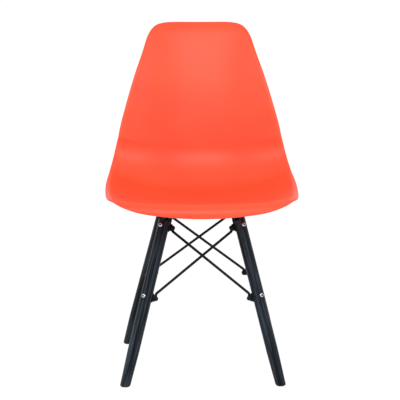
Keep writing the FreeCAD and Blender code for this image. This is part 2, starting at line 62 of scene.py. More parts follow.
# Studio. The chair stands on a white sweep, lit from the front by three large soft boxes, and is seen
# from the front, a little above the seat. The sweep shows the camera white and keeps a faint shadow.
CAMERA_DISTANCE = 4.0785
CAMERA_HEIGHT = 1.2074
CAMERA_SIDESTEP = 0.0030
CAMERA_PITCH = 0.1917
CAMERA_TURN = 0.0225
CAMERA_LENS = 152.4
SENSOR_WIDTH = 36
LAMP_AIM = Vector((0, 0, 0.5))
LAMPS = (("key_box", (-0.1, -2.7, 2.8), 1.1, 44), ("left_box", (-2.3, -1.3, 2.2), 1.2, 26),
         ("right_box", (2.3, -1.3, 2.2), 1.2, 30))
ROOM_LIGHT = 0.55
WHITE = (1, 1, 1, 1)
SWEEP_COLOUR = "F4F4F4"
SWEEP_SHADOW = 0.14
SWEEP_GLOW = 1.1
SWEEP_SIZE = 12


def linear(code):
    """Linear colour of an sRGB hex code."""
    parts = [int(code[k:k + 2], 16) / 255 for k in (0, 2, 4)]
    return tuple(c / 12.92 if c <= 0.04045 else ((c + 0.055) / 1.055) ** 2.4 for c in parts) + (1.0,)


def add(tree, kind, feeds=None, **settings):
    """Add a node with its settings, and feed its inputs from values, outputs or nodes' first outputs."""
    node = tree.nodes.new(kind)
    for name, value in settings.items():
        setattr(node, name, value)
    for socket, value in (feeds or {}).items():
        if isinstance(value, bpy.types.Node):
            value = next(output for output in value.outputs if output.enabled)
        if isinstance(value, bpy.types.NodeSocket):
            tree.links.new(value, node.inputs[socket])
        else:
            node.inputs[socket].default_value = value
    return node


def blank_material(name):
    """A material with no nodes yet, and its tree."""
    material = bpy.data.materials.new(name)
    material.use_nodes = True
    material.node_tree.nodes.clear()
    return material, material.node_tree


def sees_white(tree):
    """1 for the rays that see the white background: camera, glossy and transmission rays."""
    rays = add(tree, "ShaderNodeLightPath").outputs
    sees = rays["Is Camera Ray"]
    for kind in ("Is Glossy Ray", "Is Transmission Ray"):
        sees = add(tree, "ShaderNodeMath", {0: sees, 1: rays[kind]}, operation="MAXIMUM")
    return sees


def placed(name, thing):
    """An object at the origin that shows a mesh, a lamp or a camera."""
    shown = bpy.data.objects.new(name, thing)
    bpy.context.scene.collection.objects.link(shown)
    return shown


for old in [o for o in bpy.context.scene.objects if o.type in ("CAMERA", "LIGHT") or o.name == "Cube"]:
    bpy.data.objects.remove(old)

base_y = sum(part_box("foot_glide_" + end)[k][1] for end in ("front_left", "back_left") for k in (0, 1)) / 4
swing = Matrix.Rotation(-CAMERA_TURN, 3, "Z")
camera = placed("camera", bpy.data.cameras.new("camera"))
camera.data.lens = CAMERA_LENS
camera.data.sensor_width = SENSOR_WIDTH
camera.location = swing @ Vector((-CAMERA_SIDESTEP, -CAMERA_DISTANCE, CAMERA_HEIGHT)) + Vector((0, base_y, 0))
camera.rotation_euler = (math.pi / 2 - CAMERA_PITCH, 0, -CAMERA_TURN)
bpy.context.scene.camera = camera

for name, place, size, power in LAMPS:
    box = placed(name, bpy.data.lights.new(name, "AREA"))
    box.data.size = size
    box.data.energy = power
    box.location = place
    box.rotation_euler = (LAMP_AIM - box.location).to_track_quat("-Z", "Y").to_euler()

world = bpy.data.worlds.new("studio")
world.use_nodes = True
tree = world.node_tree
tree.nodes.clear()
room = add(tree, "ShaderNodeBackground", {"Color": WHITE, "Strength": ROOM_LIGHT})
white = add(tree, "ShaderNodeBackground", {"Color": WHITE, "Strength": 1.0})
mix = add(tree, "ShaderNodeMixShader", {0: sees_white(tree), 1: room, 2: white})
add(tree, "ShaderNodeOutputWorld", {"Surface": mix})
bpy.context.scene.world = world
bpy.context.scene.view_settings.view_transform = "Standard"

# Matt white paper: seen directly it is mostly its own white, so only the chair's shadow shows on it
sweep_paper, tree = blank_material("white_paper_sweep")
share = add(tree, "ShaderNodeMath", {0: sees_white(tree), 1: 1 - SWEEP_SHADOW}, operation="MULTIPLY")
paper = add(tree, "ShaderNodeBsdfDiffuse", {"Color": linear(SWEEP_COLOUR)})
glow = add(tree, "ShaderNodeEmission", {"Color": WHITE, "Strength": SWEEP_GLOW})
mix = add(tree, "ShaderNodeMixShader", {0: share, 1: paper, 2: glow})
add(tree, "ShaderNodeOutputMaterial", {"Surface": mix})
sheet = bmesh.new()
bmesh.ops.create_grid(sheet, x_segments=8, y_segments=8, size=SWEEP_SIZE)
mesh = bpy.data.meshes.new("sweep")
sheet.to_mesh(mesh)
sheet.free()
mesh.materials.append(sweep_paper)
placed("sweep", mesh)

# Seat shell. One injection moulding in coloured polypropylene, 4.5 mm thick, with a rolled front
# lip, a rim turned back a little all round and four bosses below for the threaded inserts.
# Places on it are millimetres along and across the flat sheet, measured from the lip.
MM = 0.001
WALL = 4.5
LIP_LEVEL = 414.3
SIDE = 234
BACK = 141
LIFT = 62
FRONT_BOW = 24
FRONT_BOW_LENGTH = 260
FLARE_WIDTH = 15
FLARE_DEPTH = 5
FLARE_START = (30, 120)
SIDE_POWER = 2.4
DRAWN_LENGTH = 816
# Centre line from the lip to the top: radius of each run, and its slope in degrees at either end.
# A run whose slope stays the same is straight, and its first number is its length.
CENTRE_RUNS = ((26, 100, -9), (110, -9, -9), (700, -9, 5), (118, 5, 80), (1380, 80, 68), (120, 68, 48))
# Half width of the sheet, lift of its sides above the centre line and their draw along it
HALF_WIDTH = ((200, SIDE), (260, SIDE), (320, SIDE * 0.980), (380, SIDE * 0.951), (440, SIDE * 0.910),
              (500, SIDE * 0.868), (560, BACK * 1.348), (620, BACK * 1.248), (680, BACK * 1.131), (740, BACK))
SIDE_LIFT = ((0, 0), (50, LIFT * 0.16), (110, LIFT * 0.29), (180, LIFT * 0.47), (260, LIFT * 0.69),
             (330, LIFT * 0.89), (390, LIFT), (450, LIFT * 0.97), (520, LIFT * 0.82), (600, LIFT * 0.68),
             (680, LIFT * 0.52), (750, LIFT * 0.31), (816, LIFT * 0.15))
SIDE_DRAW = ((230, 0), (330, 0), (390, 8), (450, 22), (510, 24), (570, 15), (640, 4), (700, 0))
# The outline rounds the front corners before the widths above, and the top corners after them
SIDE_WIDTH = ((0, SIDE),) + HALF_WIDTH[1:] + ((830, BACK * 0.79),)
EDGE_HALF = (((0, 0), (2, SIDE * 0.256), (7, SIDE * 0.470), (13, SIDE * 0.641), (22, SIDE * 0.769),
              (33, SIDE * 0.863), (52, SIDE * 0.932), (82, SIDE * 0.966), (130, SIDE * 0.987))
             + HALF_WIDTH + ((773, BACK * 0.925), (790, BACK * 0.855), (801, BACK * 0.78),
                             (809, BACK * 0.67), (815, BACK * 0.43), (DRAWN_LENGTH, 0)))
RIM_INSETS = (0.25, WALL / 2, 3.6, 5.2, 7, 9, 11, 13, 15, 17.5, 21, 26)
ROUND_STEPS = 5
RIM_COUNT = 480
SPINE = (150, 700)
SPINE_RINGS = 28
MARKS_BEFORE = 20
MARKS_AFTER = 40


def through(stations, at):
    """Smooth curve through (place, value) stations, level beyond the ends, at an array of places."""
    place, value = np.array(stations, float).T
    slope = np.gradient(value, place)
    slope[1:-1] = (value[2:] - value[:-2]) / (place[2:] - place[:-2])
    at = np.clip(at, place[0], place[-1])
    i = np.clip(np.searchsorted(place, at, side="right") - 1, 0, len(place) - 2)
    span = place[i + 1] - place[i]
    t = (at - place[i]) / span
    rise = value[i + 1] - value[i]
    start, end = slope[i] * span, slope[i + 1] * span
    return value[i] + t * (start + t * (3 * rise - 2 * start - end + t * (start + end - 2 * rise)))


def ease(x, low, high):
    """Smooth step from 0 at low to 1 at high."""
    t = np.clip((x - low) / (high - low), 0, 1)
    return t * t * (3 - 2 * t)


RUN_ENDS = [0.0]
RUN_TURNS = [math.radians(CENTRE_RUNS[0][1])]
for radius, start, end in CENTRE_RUNS:
    length = radius if start == end else radius * abs(math.radians(end - start))
    RUN_ENDS.append(RUN_ENDS[-1] + length)
    RUN_TURNS.append(math.radians(end))
SHEET_LENGTH = RUN_ENDS[-1]
marks = np.arange(-MARKS_BEFORE, int(SHEET_LENGTH) + MARKS_AFTER)
turns = np.interp(marks + 0.5, RUN_ENDS, RUN_TURNS)
mark_y = np.concatenate(([0], np.cumsum(np.cos(turns))))[:-1]
mark_z = np.concatenate(([0], np.cumsum(np.sin(turns))))[:-1]
mark_y -= mark_y[MARKS_BEFORE]
mark_z += LIP_LEVEL - mark_z[MARKS_BEFORE]


def shell_point(x, u, inset):
    """Places on the seating face, for places of the flat sheet and their distance inside its outline."""
    drawn = u * DRAWN_LENGTH / SHEET_LENGTH
    turn = np.interp(u, RUN_ENDS, RUN_TURNS)
    across = np.abs(x) / through(SIDE_WIDTH, drawn)
    run = np.clip(FLARE_WIDTH - inset, 0, None) / FLARE_WIDTH
    flare = FLARE_DEPTH * run ** 2 * ease(u, *FLARE_START)
    lift = through(SIDE_LIFT, drawn) * across ** SIDE_POWER - flare
    draw = through(SIDE_DRAW, drawn) * across ** SIDE_POWER
    bow = FRONT_BOW * across ** 2 * (1 - ease(u, 0, FRONT_BOW_LENGTH))
    y = np.interp(u, marks, mark_y) - np.sin(turn) * lift + np.cos(turn) * draw + bow
    z = np.interp(u, marks, mark_z) + np.cos(turn) * lift + np.sin(turn) * draw
    return np.stack((x, y, z), -1)


def closed_curve(points, count):
    """Evenly spaced places on the closed cubic spline through the points."""
    points = np.array(points, float)
    total = len(points)
    gaps = np.linalg.norm(np.roll(points, -1, 0) - points, axis=1)
    before = np.roll(gaps, 1)
    bends = np.zeros((total, total))
    for k in range(total):
        bends[k, k] = 2 * (before[k] + gaps[k])
        bends[k, k - 1] = before[k]
        bends[k, (k + 1) % total] = gaps[k]
    step = (np.roll(points, -1, 0) - points) / gaps[:, None]
    bend = np.linalg.solve(bends, 6 * (step - np.roll(step, 1, 0)))
    fine = []
    for k in range(total):
        t = np.linspace(0, gaps[k], 60, endpoint=False)[:, None]
        after, left = (k + 1) % total, gaps[k] - t
        fine.append((bend[k] * left ** 3 + bend[after] * t ** 3) / (6 * gaps[k])
                    + (points[k] / gaps[k] - bend[k] * gaps[k] / 6) * left
                    + (points[after] / gaps[k] - bend[after] * gaps[k] / 6) * t)
    fine = np.concatenate(fine + [fine[0][:1]])
    run = np.concatenate(([0], np.cumsum(np.linalg.norm(np.diff(fine, axis=0), axis=1))))
    at = np.linspace(0, run[-1], count, endpoint=False)
    return np.stack([np.interp(at, run, fine[:, axis]) for axis in (0, 1)], -1)


def unit(vectors):
    """The vectors made one long."""
    return vectors / np.linalg.norm(vectors, axis=-1, keepdims=True)


def welded(mesh):
    """The mesh with its doubled points merged and its faces turned outward."""
    skin = bmesh.new()
    skin.from_mesh(mesh)
    bmesh.ops.remove_doubles(skin, verts=skin.verts, dist=2e-6)
    bmesh.ops.dissolve_degenerate(skin, edges=skin.edges, dist=1e-6)
    bmesh.ops.recalc_face_normals(skin, faces=skin.faces)
    skin.to_mesh(mesh)
    skin.free()
    return mesh


def loft(name, rings, scale=1.0):
    """Closed mesh through rings of as many points each; an end ring that folds together is closed."""
    rings = np.asarray(rings, float) * scale
    columns = rings.shape[1]
    skin = bmesh.new()
    verts = [[skin.verts.new(point) for point in ring] for ring in rings]
    for low, high in zip(verts, verts[1:]):
        for k in range(columns):
            after = (k + 1) % columns
            skin.faces.new((low[k], low[after], high[after], high[k]))
    bmesh.ops.remove_doubles(skin, verts=skin.verts, dist=1e-6)
    bmesh.ops.dissolve_degenerate(skin, edges=skin.edges, dist=1e-7)
    bmesh.ops.recalc_face_normals(skin, faces=skin.faces)
    mesh = bpy.data.meshes.new(name)
    skin.to_mesh(mesh)
    skin.free()
    return mesh


def evaluated(thing):
    """The plain mesh that an object's modifiers make; the object goes."""
    bpy.context.view_layer.update()
    mesh = bpy.data.meshes.new_from_object(thing.evaluated_get(bpy.context.evaluated_depsgraph_get()))
    bpy.data.objects.remove(thing)
    return mesh


def combined(mesh, other, operation):
    """The union or difference of two closed meshes, as a plain mesh."""
    base, tool = placed("base", mesh), placed("tool", other)
    modifier = base.modifiers.new("combine", "BOOLEAN")
    modifier.operation = operation
    modifier.solver = "EXACT"
    modifier.object = tool
    result = evaluated(base)
    bpy.data.objects.remove(tool)
    return welded(result)


def finished(name, mesh, material=None, angle=40):
    """The piece that shows a mesh, with its material, shaded smooth but for edges over the angle."""
    if material:
        mesh.materials.clear()
        mesh.materials.append(material)
    mesh.shade_smooth()
    mesh.set_sharp_from_angle(angle=math.radians(angle))
    return placed(name, mesh)


# The flat sheet is covered by rings: insets of the outline near the rim, then on to a spine
half = [(x, place * SHEET_LENGTH / DRAWN_LENGTH) for place, x in EDGE_HALF]
outline = closed_curve(half + [(-x, u) for x, u in half[-2:0:-1]], RIM_COUNT)
mirror = -np.arange(RIM_COUNT) % RIM_COUNT
outline = (outline + outline[mirror] * (-1, 1)) / 2
along = unit(np.roll(outline, -1, 0) - np.roll(outline, 1, 0))
inward = np.stack((-along[:, 1], along[:, 0]), -1)
flat = [outline + inward * inset for inset in RIM_INSETS]
insets = list(RIM_INSETS) + [FLARE_WIDTH] * SPINE_RINGS
inner = flat[-1]
low, high = inner[:, 1].min(), inner[:, 1].max()
spine_u = SPINE[0] + (inner[:, 1] - low) / (high - low) * (SPINE[1] - SPINE[0])
spine = np.stack((np.zeros(RIM_COUNT), spine_u), -1)
flat += [inner + (spine - inner) * k / SPINE_RINGS for k in range(1, SPINE_RINGS + 1)]
top = np.array([shell_point(ring[:, 0], ring[:, 1], inset) for ring, inset in zip(flat, insets)])

# Each ring is dropped by the wall along the surface's own normal, and a half round closes the rim.
# The rings meet at the spine, where the normal comes from the centre line and settles the others' side.
spine_turn = np.interp(spine_u, RUN_ENDS, RUN_TURNS)
down = np.cross(np.roll(top, -1, 1) - np.roll(top, 1, 1), np.gradient(top, axis=0))
down[-1] = np.stack((np.zeros(RIM_COUNT), np.sin(spine_turn), -np.cos(spine_turn)), -1)
down = unit(down)
if down[-2, :, 2].mean() * down[-1, :, 2].mean() < 0:
    down[:-1] *= -1
outward = top[0] - top[2]
outward = unit(outward - down[1] * np.sum(outward * down[1], -1, keepdims=True))
middle = top[1] + down[1] * WALL / 2
rings = list(top[:0:-1])
for turned in (math.pi * k / (ROUND_STEPS + 1) for k in range(1, ROUND_STEPS + 1)):
    rings.append(middle + (outward * math.sin(turned) - down[1] * math.cos(turned)) * WALL / 2)
rings += list(top[1:] + down[1:] * WALL)
shell = np.array(rings) * MM
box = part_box("seat_shell")
shell[..., 1] += (box[0][1] + box[1][1]) / 2 - (shell[..., 1].min() + shell[..., 1].max()) / 2
shell_mesh = loft("seat_shell", shell)

# Bosses: round posts under the seat, filleted where they meet the wall and bored for the inserts.
# A level of None stands for the underside of the shell, and the drop is measured down from the level.
BOSS_RADIUS = 14
BOSS_FILLET = 5
BOSS_LEVEL = 400
BOSS_BREAK = 0.6
BORE_BREAK = 0.3
BOSS_SIDES = 96
INSERT_RADIUS = 4.6
INSERT_LENGTH = 12
SINK = 1.5
SKIN_DROP = 0.05
MOUNT_RADIUS = 13
BOSS_PROFILE = ([(0, None, -SINK), (BOSS_RADIUS + BOSS_FILLET, None, -SINK)]
                + [(BOSS_RADIUS + BOSS_FILLET * (1 - math.sin(a)), None,
                    SKIN_DROP + BOSS_FILLET * (1 - math.cos(a))) for a in np.radians(range(0, 91, 15))]
                + [(BOSS_RADIUS, BOSS_LEVEL + BOSS_BREAK, 0), (BOSS_RADIUS - BOSS_BREAK, BOSS_LEVEL, 0),
                   (INSERT_RADIUS + BORE_BREAK, BOSS_LEVEL, 0), (INSERT_RADIUS, BOSS_LEVEL + BORE_BREAK, 0),
                   (INSERT_RADIUS, BOSS_LEVEL + INSERT_LENGTH, 0), (0, BOSS_LEVEL + INSERT_LENGTH, 0)])
mount_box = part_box("rubber_mounts")
MOUNTS = [Vector((mount_box[x][0] / MM + MOUNT_RADIUS * (1 - 2 * x),
                  mount_box[y][1] / MM + MOUNT_RADIUS * (1 - 2 * y), 0)) for x in (0, 1) for y in (0, 1)]
underside = BVHTree.FromPolygons([v.co for v in shell_mesh.vertices],
                                 [face.vertices for face in shell_mesh.polygons])


def wall_above(x, y):
    """Height of the underside of the shell above a place, all in millimetres."""
    return underside.ray_cast(Vector((x, y, BOSS_LEVEL - 20)) * MM, Vector((0, 0, 1)))[0].z / MM


for mount in MOUNTS:
    rings = []
    for radius, level, drop in BOSS_PROFILE:
        ring = []
        for turned in (2 * math.pi * k / BOSS_SIDES for k in range(BOSS_SIDES)):
            x, y = mount.x + radius * math.cos(turned), mount.y + radius * math.sin(turned)
            ring.append((x, y, (wall_above(x, y) if level is None else level) - drop))
        rings.append(ring)
    shell_mesh = combined(shell_mesh, loft("boss", rings, MM), "UNION")

# Polypropylene from a fine spark-eroded mould: even satin colour, a broad soft highlight, and a grain
# of about 0.5 mm that is drawn 2 mm coarse so that it shows at all
SHELL_COLOUR = "F65130"
SHELL_COLOUR_DEEP = "F34B2C"
GRAIN = 0.002
CLOUD = 0.12
polypropylene, tree = blank_material("moulded_polypropylene")
place = add(tree, "ShaderNodeTexCoord").outputs["Object"]
cloud = add(tree, "ShaderNodeTexNoise", {"Vector": place, "Scale": 1 / CLOUD, "Detail": 2.0})
grain = add(tree, "ShaderNodeTexNoise", {"Vector": place, "Scale": 1 / GRAIN, "Detail": 3.0})
tint = add(tree, "ShaderNodeMapRange", {"Value": cloud, "From Min": 0.3, "From Max": 0.7})
colour = add(tree, "ShaderNodeMix", {0: tint, 6: linear(SHELL_COLOUR), 7: linear(SHELL_COLOUR_DEEP)},
             data_type="RGBA")
rough = add(tree, "ShaderNodeMapRange", {"Value": grain, "To Min": 0.37, "To Max": 0.47})
bump = add(tree, "ShaderNodeBump", {"Height": grain, "Strength": 0.10, "Distance": 0.0002})
plastic = add(tree, "ShaderNodeBsdfPrincipled",
              {"Base Color": colour, "Roughness": rough, "IOR": 1.49, "Specular IOR Level": 0.3,
               "Normal": bump})
add(tree, "ShaderNodeOutputMaterial", {"Surface": plastic})
shell_piece = finished("shell", shell_mesh, polypropylene)
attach(shell_piece, "root")
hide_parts("seat_shell")

# Dowel legs. Four ash dowels turned to 28.4 mm, drawn in over the last 80 mm and cut level at the foot,
# each bored for its two leg screws, with a flat spot face under each head, and for its foot glide.
# All four lean in toward the seat; the corner frames below place everything else on the base.
LEG_RADIUS = 14.2
LEG_FOOT_RADIUS = 12.2
LEG_TAPER = 80
LEG_END = 3
LEG_TOP = 383
LEG_BREAK = 1
LEG_SIDES = 72
LEG_STEPS = 40
FOOT_X = 186.5
FOOT_Y = 189
SPLAY_X = 0.2525
SPLAY_Y = 0.273
SCREW_AZIMUTH = 34
SCREW_LEVELS = {"upper": 370, "lower": 206.3}
SCREW_SEAT = 12.9
SCREW_BORE = 3.2
SPOT_FACE = 5.3
SPIGOT_BORE = 4.2
SPIGOT_LENGTH = 16
SPIGOT_SIDES = 32
HOLE_SIDES = 40
LEG_RUN = (LEG_TOP - LEG_END) * math.sqrt(1 + SPLAY_X ** 2 + SPLAY_Y ** 2)


class Corner:
    """One corner of the base: its dowel's foot and axis, and the ways in which its fittings face."""

    def __init__(self, name, across, along):
        self.name = name
        self.along = along
        self.foot = Vector((across * FOOT_X, base_y / MM + along * FOOT_Y, 0))
        self.axis = Vector((-across * SPLAY_X, -along * SPLAY_Y, 1))
        self.up = self.axis.normalized()
        swing = math.radians(SCREW_AZIMUTH)
        self.out = self.square(Vector((across * math.sin(swing), along * math.cos(swing), 0)))
        self.to_side = self.square(Vector((-across, 0, 0)))
        self.to_end = self.square(Vector((0, -along, 0)))

    def square(self, direction):
        """The direction made square to the dowel."""
        return (direction - self.up * direction.dot(self.up)).normalized()

    def at(self, height):
        """Point of the dowel's axis at a height above the floor, in millimetres."""
        return self.foot + self.axis * height


def frame_of(origin, z_axis, x_axis):
    """Matrix with its Z along z_axis, its X as near x_axis as that allows, and its origin in millimetres."""
    z_axis = z_axis.normalized()
    x_axis = (x_axis - z_axis * x_axis.dot(z_axis)).normalized()
    turn = Matrix((x_axis, z_axis.cross(x_axis), z_axis)).transposed().to_4x4()
    return Matrix.Translation(origin * MM) @ turn


def moved(mesh, matrix):
    """The mesh, moved by the matrix."""
    mesh.transform(matrix)
    return mesh


def lathe(name, profile, sides):
    """Closed part about Z, from (radius, height) places in millimetres: numbers, or one for each side."""
    swing = np.arange(sides) * 2 * math.pi / sides
    around = np.stack((np.cos(swing), np.sin(swing), np.zeros(sides)), -1)
    return loft(name, [around * np.reshape(radius, (-1, 1)) + np.reshape(height, (-1, 1)) * (0, 0, 1)
                       for radius, height in profile], MM)


def bored(mesh, steps, sides, matrix):
    """The mesh less a stepped bore about the matrix's Z; a step is its radius, start and end."""
    walls = [(radius, end) for radius, *ends in steps for end in ends]
    bore = lathe("bore", [(0, steps[0][1])] + walls + [(0, steps[-1][2])], sides)
    return combined(mesh, moved(bore, matrix), "DIFFERENCE")


def carry(mesh, name, values, domain="POINT"):
    """Store a number or a vector for each point or face of a mesh."""
    values = np.array(values, np.float32)
    kind, field = ("FLOAT", "value") if values.ndim == 1 else ("FLOAT_VECTOR", "vector")
    mesh.attributes.new(name, kind, domain).data.foreach_set(field, values.ravel())


def geometry_tree(name, inputs):
    """An empty Geometry Nodes tree with named inputs, and the outputs that give them."""
    tree = bpy.data.node_groups.new(name, "GeometryNodeTree")
    tree.interface.new_socket("Geometry", in_out="INPUT", socket_type="NodeSocketGeometry")
    tree.interface.new_socket("Geometry", in_out="OUTPUT", socket_type="NodeSocketGeometry")
    for label, kind in inputs.items():
        tree.interface.new_socket(label, in_out="INPUT", socket_type="NodeSocket" + kind)
    return tree, add(tree, "NodeGroupInput").outputs


def swept(tree, curve, sides, radius, scale):
    """The curve swept with a circle whose radius is scaled along it, with both ends closed."""
    ring = add(tree, "GeometryNodeCurvePrimitiveCircle", {"Resolution": sides, "Radius": radius})
    return add(tree, "GeometryNodeCurveToMesh",
               {"Curve": curve, "Profile Curve": ring, "Scale": scale, "Fill Caps": True})


def finish_tree(tree, geometry, *materials):
    """Realize the instances, give each material to the faces chosen for it, and output the result."""
    skin = add(tree, "GeometryNodeRealizeInstances", {"Geometry": geometry})
    for material, chosen in materials:
        skin = add(tree, "GeometryNodeSetMaterial",
                   {"Geometry": skin, "Selection": chosen, "Material": material})
    add(tree, "NodeGroupOutput", {0: skin})
    return tree


def grown(name, tree, inputs, carrier=None):
    """The plain mesh that a Geometry Nodes tree makes from its named inputs."""
    thing = placed(name, carrier or bpy.data.meshes.new(name))
    modifier = thing.modifiers.new("grow", "NODES")
    modifier.node_group = tree
    for socket in tree.interface.items_tree:
        if socket.in_out == "INPUT" and socket.name in inputs:
            modifier[socket.identifier] = inputs[socket.name]
    return evaluated(thing)


CORNERS = {name: Corner(name, *ends) for name, ends in (
    ("front_left", (-1, -1)), ("front_right", (1, -1)), ("back_left", (-1, 1)), ("back_right", (1, 1)))}

# Black-stained ash under thin satin lacquer: near-black with a blue cast, long lighter streaks, partly grain
# where the growth rings run out on the turned face and partly painted highlight lines, fine open pores along
# the grain, a soft sheen.
# The rings are 2.5 mm apart; the pores, 0.2 mm wide in life, are drawn 0.7 mm wide so that they show.
# The heart of the rings lies beside the dowel and leans, so that they run out on it, and they wander.
STAIN_DARK = "06080B"
STAIN_BASE = "10151B"
STREAK_GRAIN_AND_HIGHLIGHT = "3B4753"
RING_GAP = 2.5
WAVE_GAP = 0.314  # between the rings of a wave at a scale of 1
RING_SWAY = 6
HEART_ASIDE = Vector((11, 6, 0))
HEART_LEAN = (0.016, 0.010, 0)
BOARD_STEP = 0.9
# Marks of the figure: width, length, detail and roughness
FIGURE = {"wander": (28, 156, 2.0, 0.5), "streak": (4.5, 160, 4.0, 0.6), "pore": (0.7, 14, 2.0, 0.5)}
stained_ash, tree = blank_material("black_stained_ash")
grain = add(tree, "ShaderNodeAttribute", attribute_name="grain").outputs["Vector"]
figure = {}
for mark, (width, length, detail, roughness) in FIGURE.items():
    drawn = add(tree, "ShaderNodeMapping",
                {"Vector": grain, "Scale": (1 / (width * MM), 1 / (width * MM), 1 / (length * MM))})
    figure[mark] = add(tree, "ShaderNodeTexNoise",
                       {"Vector": drawn, "Scale": 1.0, "Detail": detail, "Roughness": roughness})
sway = add(tree, "ShaderNodeVectorMath", {0: figure["wander"].outputs["Color"], 3: RING_SWAY * MM},
           operation="SCALE")
heart = add(tree, "ShaderNodeMapping",
            {"Vector": grain, "Location": HEART_ASIDE * MM, "Rotation": HEART_LEAN})
bent = add(tree, "ShaderNodeVectorMath", {0: heart, 1: sway}, operation="ADD")
growth = add(tree, "ShaderNodeTexWave",
             {"Vector": bent, "Scale": WAVE_GAP / (RING_GAP * MM), "Distortion": 0.6, "Detail": 2.0,
              "Detail Scale": 0.6}, wave_type="RINGS", rings_direction="Z", wave_profile="SAW").outputs["Fac"]
# The streak noise lightens the wood towards the streak colour: partly grain, partly painted highlight lines
tone = add(tree, "ShaderNodeMapRange", {"Value": figure["streak"], "From Min": 0.44, "From Max": 0.64})
body = add(tree, "ShaderNodeMix", {0: tone, 6: linear(STAIN_DARK), 7: linear(STREAK_GRAIN_AND_HIGHLIGHT)}, data_type="RGBA")
share = add(tree, "ShaderNodeMath", {0: growth, 1: 0.45}, operation="MULTIPLY")
ringed = add(tree, "ShaderNodeMix", {0: share, 6: body, 7: linear(STAIN_BASE)}, data_type="RGBA")
pit = add(tree, "ShaderNodeMapRange", {"Value": figure["pore"], "From Min": 0.56, "From Max": 0.68})
share = add(tree, "ShaderNodeMath", {0: pit, 1: 0.5}, operation="MULTIPLY")
colour = add(tree, "ShaderNodeMix", {0: share, 6: ringed, 7: linear(STAIN_DARK)}, data_type="RGBA")
rough = add(tree, "ShaderNodeMapRange", {"Value": figure["streak"], "To Min": 0.30, "To Max": 0.42})
bump = add(tree, "ShaderNodeBump", {"Height": pit, "Strength": 0.25, "Distance": 0.0002}, invert=True)
wood = add(tree, "ShaderNodeBsdfPrincipled",
           {"Base Color": colour, "Roughness": rough, "IOR": 1.5, "Specular IOR Level": 0.1, "Normal": bump})
add(tree, "ShaderNodeOutputMaterial", {"Surface": wood})

# Turned dowel: a line of points along Z swept with a circle; its radius grows over the taper, and the
# top face is drawn out and shrunk for the broken edge
tree, given = geometry_tree("turned_dowel", {
    "Length": "Float", "Tail": "Float", "Radius": "Float", "Foot Radius": "Float", "Taper": "Float",
    "Edge Break": "Float", "Sides": "Int", "Steps": "Int", "Material": "Material"})
tall = add(tree, "ShaderNodeMath", {0: given["Length"], 1: given["Tail"]}, operation="ADD")
plain = add(tree, "ShaderNodeMath", {0: tall, 1: given["Edge Break"]}, operation="SUBTRACT")
step = add(tree, "ShaderNodeMath", {0: plain, 1: given["Steps"]}, operation="DIVIDE")
count = add(tree, "ShaderNodeMath", {0: given["Steps"], 1: 1.0}, operation="ADD")
low = add(tree, "ShaderNodeMath", {0: given["Tail"], 1: -1.0}, operation="MULTIPLY")
line = add(tree, "GeometryNodeMeshLine",
           {"Count": count, "Start Location": add(tree, "ShaderNodeCombineXYZ", {2: low}),
            "Offset": add(tree, "ShaderNodeCombineXYZ", {2: step})})
height = add(tree, "ShaderNodeSeparateXYZ", {0: add(tree, "GeometryNodeInputPosition")}).outputs[2]
drawn_in = add(tree, "ShaderNodeMath", {0: given["Foot Radius"], 1: given["Radius"]}, operation="DIVIDE")
grow = add(tree, "ShaderNodeMapRange", {"Value": height, "From Min": 0.0, "From Max": given["Taper"],
                                        "To Min": drawn_in, "To Max": 1.0})
blank = swept(tree, add(tree, "GeometryNodeMeshToCurve", {"Mesh": line}),
              given["Sides"], given["Radius"], grow)
facing = add(tree, "ShaderNodeSeparateXYZ", {0: add(tree, "GeometryNodeInputNormal")}).outputs[2]
upper = add(tree, "ShaderNodeMath", {0: facing, 1: 0.9}, operation="GREATER_THAN")
raised = add(tree, "GeometryNodeExtrudeMesh",
             {"Mesh": blank, "Selection": upper, "Offset Scale": given["Edge Break"]}).outputs
edge = add(tree, "ShaderNodeMath", {0: given["Edge Break"], 1: given["Radius"]}, operation="DIVIDE")
shrink = add(tree, "ShaderNodeMath", {0: 1.0, 1: edge}, operation="SUBTRACT")
ended = add(tree, "GeometryNodeScaleElements",
            {"Geometry": raised["Mesh"], "Selection": raised["Top"], "Scale": shrink})
dowel_tree = finish_tree(tree, ended, (given["Material"], True))
DOWEL = {"Length": LEG_RUN * MM, "Tail": LEG_FOOT_RADIUS * MM, "Radius": LEG_RADIUS * MM,
         "Foot Radius": LEG_FOOT_RADIUS * MM, "Taper": LEG_TAPER * MM, "Edge Break": LEG_BREAK * MM,
         "Sides": LEG_SIDES, "Steps": LEG_STEPS, "Material": stained_ash}

# The dowel runs on past its foot, and what is below the level end is cut off with a block. Cutters
# run past the wood, and the bore for the spigot is 1 mm deeper than the spigot.
BLOCK = 3 * LEG_RADIUS
PAST = 30
SPIGOT_ROOM = 1
for count, corner in enumerate(CORNERS.values()):
    dowel_frame = frame_of(corner.at(LEG_END), corner.up, corner.out)
    mesh = moved(grown("leg_" + corner.name, dowel_tree, DOWEL), dowel_frame)
    mesh = bored(mesh, [(SPIGOT_BORE, -PAST, SPIGOT_LENGTH + SPIGOT_ROOM)], SPIGOT_SIDES, dowel_frame)
    block = [[(corner.foot.x + x * reach, corner.foot.y + y * reach, z)
              for x, y in ((-1, -1), (1, -1), (1, 1), (-1, 1))]
             for reach, z in ((0, -BLOCK), (BLOCK, -BLOCK), (BLOCK, LEG_END), (0, LEG_END))]
    mesh = combined(mesh, loft("block", block, MM), "DIFFERENCE")
    for level in SCREW_LEVELS.values():
        mesh = bored(mesh, [(SCREW_BORE, -PAST, SCREW_SEAT), (SPOT_FACE, SCREW_SEAT, PAST)], HOLE_SIDES,
                     frame_of(corner.at(level), corner.out, corner.up))
    local = dowel_frame.inverted()
    board = Vector((0.0, 0.0, BOARD_STEP * count))
    carry(mesh, "grain", [local @ vertex.co + board for vertex in mesh.vertices])
    leg = finished("leg_" + corner.name + "_dowel", mesh, angle=30)
    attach(leg, "root")
    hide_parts("leg_" + corner.name)

